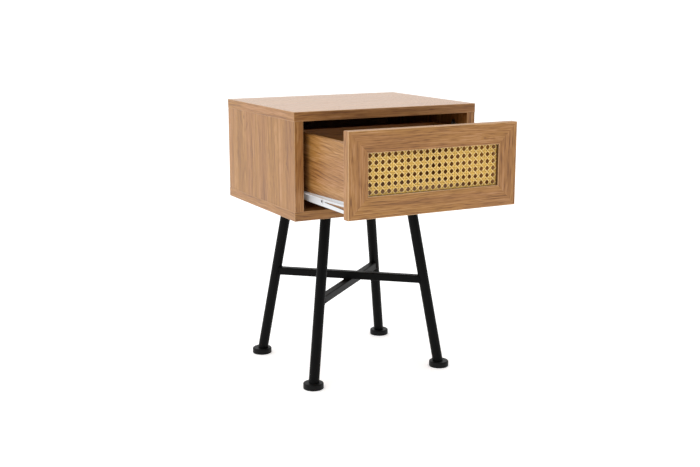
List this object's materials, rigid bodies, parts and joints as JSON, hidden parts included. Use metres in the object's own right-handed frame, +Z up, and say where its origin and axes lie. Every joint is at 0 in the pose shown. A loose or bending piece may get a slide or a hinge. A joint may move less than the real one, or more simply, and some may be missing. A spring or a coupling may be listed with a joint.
{
  "type": "bedside table",
  "caption": "Bedside table: oak-effect box with a cane-fronted sliding drawer on roller runners, standing on a splayed black steel tube frame with crossed stretchers and flat round feet.",
  "frame": {"origin": "on the floor, at the middle of the footprint of the table with its drawer open as modelled", "axes": "+Z up, +X to the right of a person facing the drawer, the drawer opens towards -Y"},
  "size_m": [0.4, 0.499, 0.553],
  "materials": {
    "oak_board": "oak-effect foil on board, satin",
    "oak_edging": "oak-effect plastic edge band",
    "oak_front": "oak-effect foil, mitred frame",
    "hardboard": "brown hardboard, smooth face",
    "cane": "woven cane, natural",
    "bead_wood": "planed softwood",
    "dowel_wood": "fluted beech",
    "black_steel": "black powder coat, satin",
    "black_plastic": "black moulded plastic",
    "white_steel": "white epoxy coat on folded steel",
    "nylon": "white nylon",
    "zinc_steel": "zinc-plated"
  },
  "bodies": {
    "cabinet": {"top_panel": "oak_board", "bottom_panel": "oak_board", "left_side_panel": "oak_board", "right_side_panel": "oak_board", "top_front_edging": "oak_edging", "top_left_edging": "oak_edging", "top_right_edging": "oak_edging", "bottom_front_edging": "oak_edging", "bottom_left_edging": "oak_edging", "bottom_right_edging": "oak_edging", "left_side_edging": "oak_edging", "right_side_edging": "oak_edging", "back_panel": "hardboard", "carcass_dowels": "dowel_wood", "carcass_cam_bolts": "zinc_steel", "carcass_cams": "zinc_steel", "bottom_panel_screws": "zinc_steel", "leg_plate_screws": "zinc_steel", "cabinet_runner_screws": "zinc_steel", "cabinet_roller_pins": "zinc_steel", "leg_front_left": "black_steel", "leg_front_right": "black_steel", "leg_rear_left": "black_steel", "leg_rear_right": "black_steel", "leg_plate_front_left": "black_steel", "leg_plate_front_right": "black_steel", "leg_plate_rear_left": "black_steel", "leg_plate_rear_right": "black_steel", "stretcher_upper": "black_steel", "stretcher_lower": "black_steel", "foot_front_left": "black_plastic", "foot_front_right": "black_plastic", "foot_rear_left": "black_plastic", "foot_rear_right": "black_plastic", "cabinet_runner_left": "white_steel", "cabinet_runner_right": "white_steel"},
    "drawer": {"front_top_rail": "oak_front", "front_bottom_rail": "oak_front", "front_left_stile": "oak_front", "front_right_stile": "oak_front", "cane_webbing": "cane", "cane_beads_long": "bead_wood", "cane_beads_short": "bead_wood", "drawer_dowels": "dowel_wood", "drawer_left_side": "oak_board", "drawer_right_side": "oak_board", "drawer_back": "oak_board", "drawer_bottom": "hardboard", "drawer_cam_bolts": "zinc_steel", "drawer_cams": "zinc_steel", "drawer_runner_left": "white_steel", "drawer_runner_right": "white_steel", "drawer_roller_pins": "zinc_steel", "drawer_runner_screws": "zinc_steel"},
    "cabinet_roller_left": {"cabinet_roller_left": "nylon"},
    "cabinet_roller_right": {"cabinet_roller_right": "nylon"},
    "drawer_roller_left": {"drawer_roller_left": "nylon"},
    "drawer_roller_right": {"drawer_roller_right": "nylon"}
  },
  "joints": [
    {"name": "drawer_slide", "type": "slide", "parent": "cabinet", "child": "drawer", "axis": [0, -1, 0], "range_m": [-0.171, 0.014]},
    {"name": "cabinet_roller_left_turn", "type": "hinge", "parent": "cabinet", "child": "cabinet_roller_left", "pos_m": [-0.17415, -0.0465, 0.3925], "axis": [1, 0, 0], "continuous": true},
    {"name": "drawer_roller_left_turn", "type": "hinge", "parent": "drawer", "child": "drawer_roller_left", "pos_m": [-0.1736, 0.0085, 0.39175], "axis": [1, 0, 0], "continuous": true},
    {"name": "cabinet_roller_right_turn", "type": "hinge", "parent": "cabinet", "child": "cabinet_roller_right", "pos_m": [0.17415, -0.0465, 0.3925], "axis": [1, 0, 0], "continuous": true},
    {"name": "drawer_roller_right_turn", "type": "hinge", "parent": "drawer", "child": "drawer_roller_right", "pos_m": [0.1736, 0.0085, 0.39175], "axis": [1, 0, 0], "continuous": true}
  ],
  "couplings": [
    {"joint": "cabinet_roller_left_turn", "follows": "drawer_slide", "rad_per_m": 142.86},
    {"joint": "drawer_roller_left_turn", "follows": "drawer_slide", "rad_per_m": 173.91},
    {"joint": "cabinet_roller_right_turn", "follows": "drawer_slide", "rad_per_m": 142.86},
    {"joint": "drawer_roller_right_turn", "follows": "drawer_slide", "rad_per_m": 173.91}
  ]
}
